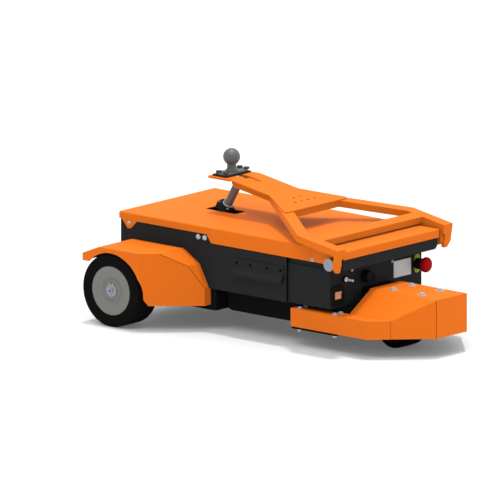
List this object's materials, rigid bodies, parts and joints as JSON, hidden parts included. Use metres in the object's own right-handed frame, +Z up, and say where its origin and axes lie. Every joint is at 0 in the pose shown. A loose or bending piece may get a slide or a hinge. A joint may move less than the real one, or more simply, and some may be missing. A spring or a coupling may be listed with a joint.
{
  "type": "aircraft pushback tractor",
  "caption": "Compact battery tug: black body under an orange lid, driven wheels under folded fenders, caster under a faceted bumper, hinged arm with tow ball lifted by a cylinder",
  "frame": {"origin": "bottom centre of the bounding box, on the floor midway between the drive end and the caster end", "axes": "+X from the drive wheels to the caster and bumper end, +Y to the side with the red stop button, +Z up"},
  "size_m": [1.109, 0.716, 0.495],
  "materials": {
    "orange_paint": "orange powder coat, satin, fine orange-peel",
    "black_paint": "black powder coat, satin, fine texture",
    "lower_black": "dull black underbody coat",
    "steel": "machined steel, lightly oiled",
    "zinc_plate": "zinc plated pressed steel",
    "cast_grey": "cast and turned aluminium, matt",
    "rod_chrome": "ground and polished rod",
    "tyre_black": "solid rubber, smooth running face",
    "stop_red": "red moulded plastic",
    "stop_base_yellow": "yellow-green moulded plastic",
    "switch_black": "black moulded plastic",
    "rocker_orange": "orange-red lit plastic",
    "label_grey": "blank light grey film plate",
    "battery_case": "moulded battery case"
  },
  "bodies": {
    "chassis": {"axle_box": "lower_black", "battery_pack": "battery_case", "battery_tray": "lower_black", "bumper_cover": "orange_paint", "bumper_strip_left": "orange_paint", "bumper_strip_right": "orange_paint", "caster_beam": "lower_black", "caster_plate": "zinc_plate", "charge_socket": "switch_black", "cylinder_foot": "steel", "fender_bracket_left": "lower_black", "fender_bracket_right": "lower_black", "fender_left": "orange_paint", "fender_right": "orange_paint", "foot_pin": "steel", "gear_head_left": "cast_grey", "gear_head_right": "cast_grey", "key_switch": "zinc_plate", "label_plate": "label_grey", "lid": "orange_paint", "main_tub": "black_paint", "pivot_beam": "black_paint", "pivot_bolt_left": "zinc_plate", "pivot_bolt_right": "zinc_plate", "rear_panel": "black_paint", "rear_tub": "black_paint", "rocker_switch": "rocker_orange", "side_rail_left": "black_paint", "side_rail_right": "black_paint", "stop_button": "stop_red", "stop_collar": "switch_black", "stop_plate": "stop_base_yellow", "strip_bracket_left": "lower_black", "strip_bracket_right": "lower_black", "switch_bezel": "switch_black"},
    "wheel_left": {"drive_tyre_left": "tyre_black", "drive_rim_left": "cast_grey", "drive_shaft_left": "zinc_plate"},
    "wheel_right": {"drive_tyre_right": "tyre_black", "drive_rim_right": "cast_grey", "drive_shaft_right": "zinc_plate"},
    "caster_swivel": {"caster_fork": "zinc_plate", "caster_axle": "steel"},
    "caster_wheel": {"caster_rim": "switch_black", "caster_tyre": "tyre_black"},
    "hitch_arm": {"arm_frame": "orange_paint", "arm_plate": "orange_paint", "ball_seat": "black_paint", "tow_ball": "steel", "eye_pin": "steel"},
    "barrel": {"cylinder_barrel": "black_paint"},
    "rod": {"cylinder_rod": "rod_chrome"}
  },
  "joints": [
    {"name": "drive_wheel_left", "type": "hinge", "parent": "chassis", "child": "wheel_left", "pos_m": [-0.4475, 0.312, 0.107], "axis": [0, 1, 0], "continuous": true},
    {"name": "drive_wheel_right", "type": "hinge", "parent": "chassis", "child": "wheel_right", "pos_m": [-0.4475, -0.312, 0.107], "axis": [0, 1, 0], "continuous": true},
    {"name": "caster_turn", "type": "hinge", "parent": "chassis", "child": "caster_swivel", "pos_m": [0.4195, 0, 0.15], "axis": [0, 0, 1], "continuous": true},
    {"name": "caster_roll", "type": "hinge", "parent": "caster_swivel", "child": "caster_wheel", "pos_m": [0.3615, 0, 0.061], "axis": [0, 1, 0], "continuous": true},
    {"name": "arm_lift", "type": "hinge", "parent": "chassis", "child": "hitch_arm", "pos_m": [0.2965, 0, 0.2715], "axis": [0, 1, 0], "range_deg": [0, 12]},
    {"name": "barrel_tilt", "type": "hinge", "parent": "chassis", "child": "barrel", "pos_m": [-0.4095, 0, 0.146], "axis": [0, 1, 0], "range_deg": [-3.7, 0]},
    {"name": "rod_slide", "type": "slide", "parent": "barrel", "child": "rod", "axis": [0.5009, 0, 0.8655], "range_m": [0, 0.118]}
  ],
  "couplings": [
    {"joint": "barrel_tilt", "follows": "arm_lift", "ratio": -0.308},
    {"joint": "rod_slide", "follows": "arm_lift", "m_per_rad": 0.563}
  ]
}
